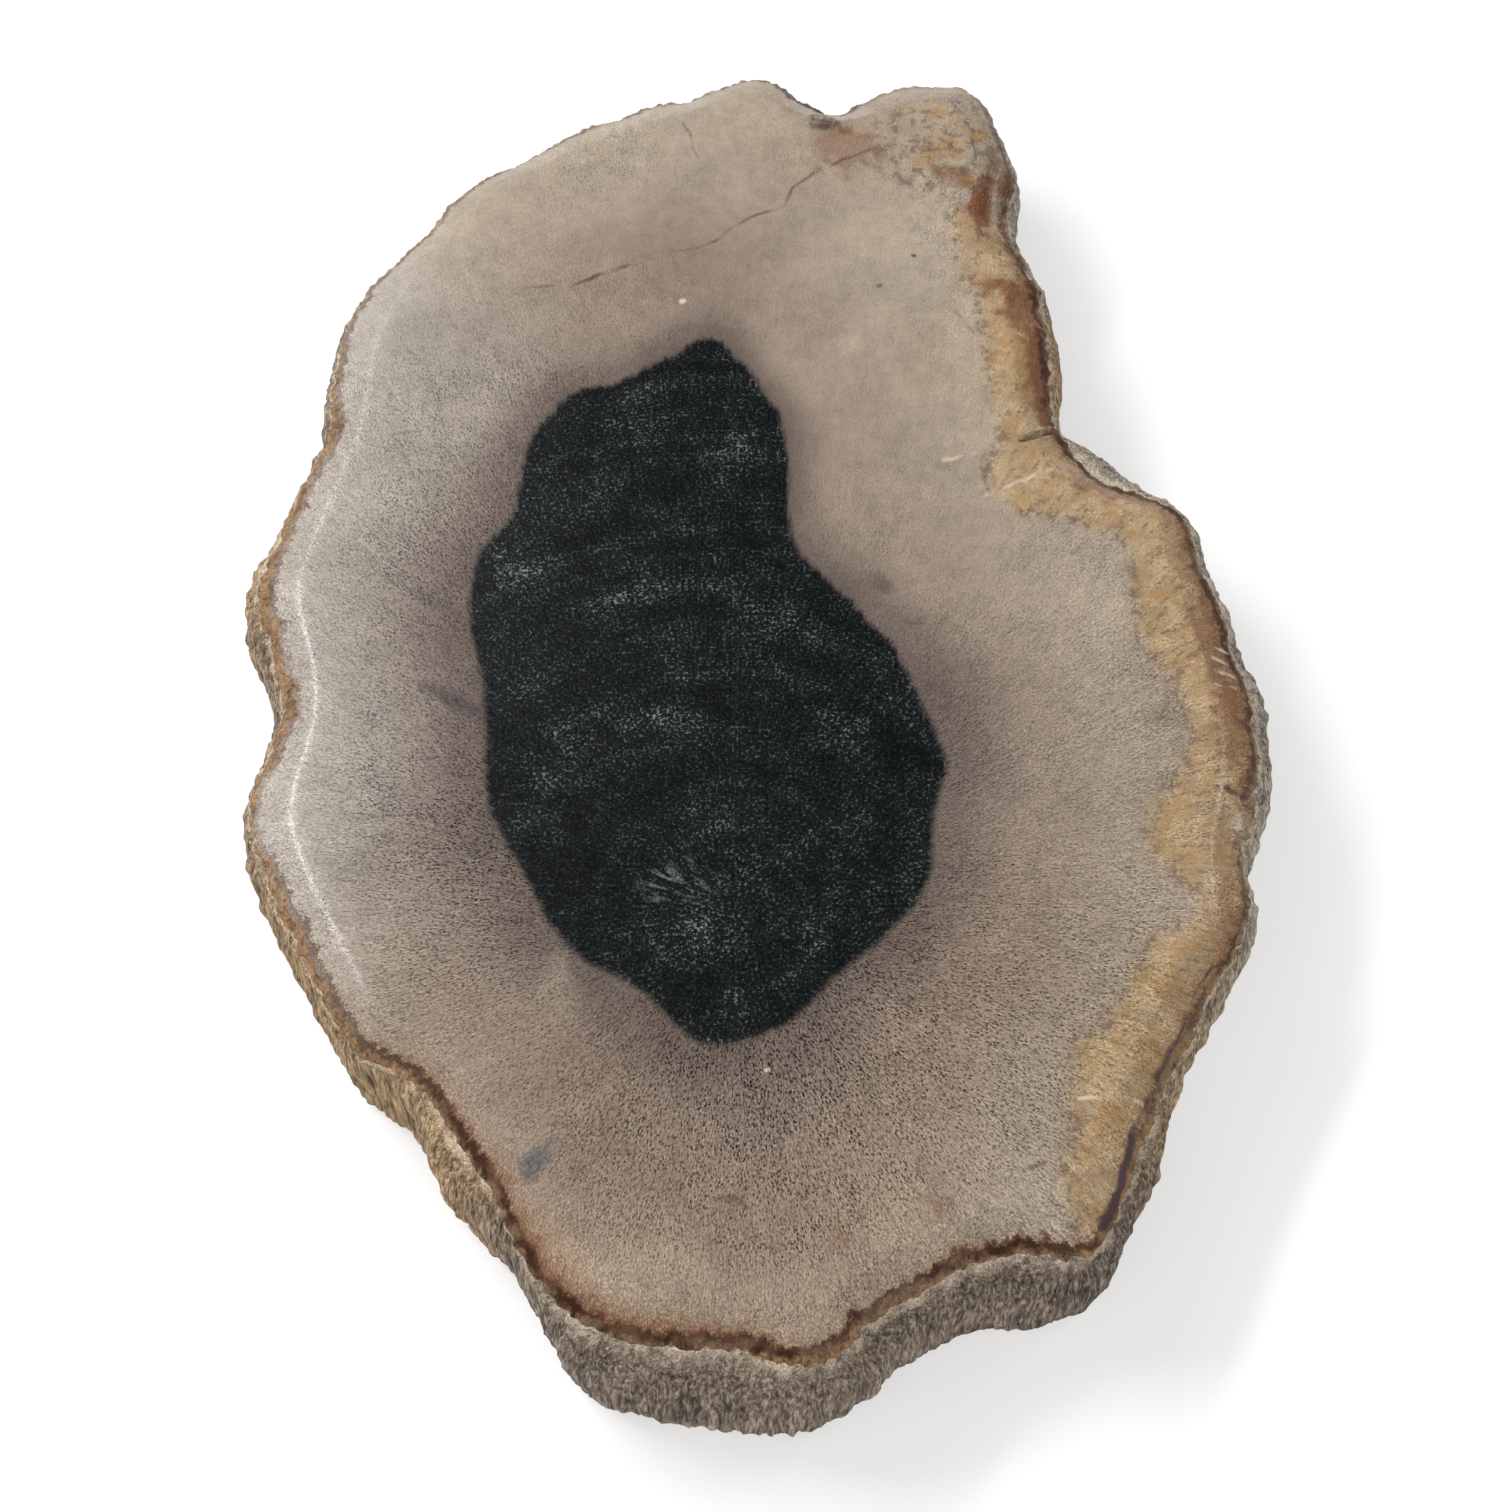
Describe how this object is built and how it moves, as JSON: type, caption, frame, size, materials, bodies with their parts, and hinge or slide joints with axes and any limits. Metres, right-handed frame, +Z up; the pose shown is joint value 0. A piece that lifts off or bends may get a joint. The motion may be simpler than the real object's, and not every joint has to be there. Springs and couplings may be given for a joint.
{
  "type": "petrified wood slice",
  "caption": "Polished cross-cut slice of petrified wood with a rounded rim and rough bark wall, lying flat as a display piece.",
  "frame": {"origin": "on the sawn underside, below the middle of the bounding box", "axes": "+Z up, out of the polished face; +Y along the length, towards the end with the notch and the blunt peak; +X to the right of that"},
  "size_m": [0.1082, 0.1574, 0.018],
  "materials": {
    "petrified_stone": "polished"
  },
  "bodies": {
    "root": {"petrified_wood_slice": "petrified_stone"}
  },
  "joints": []
}
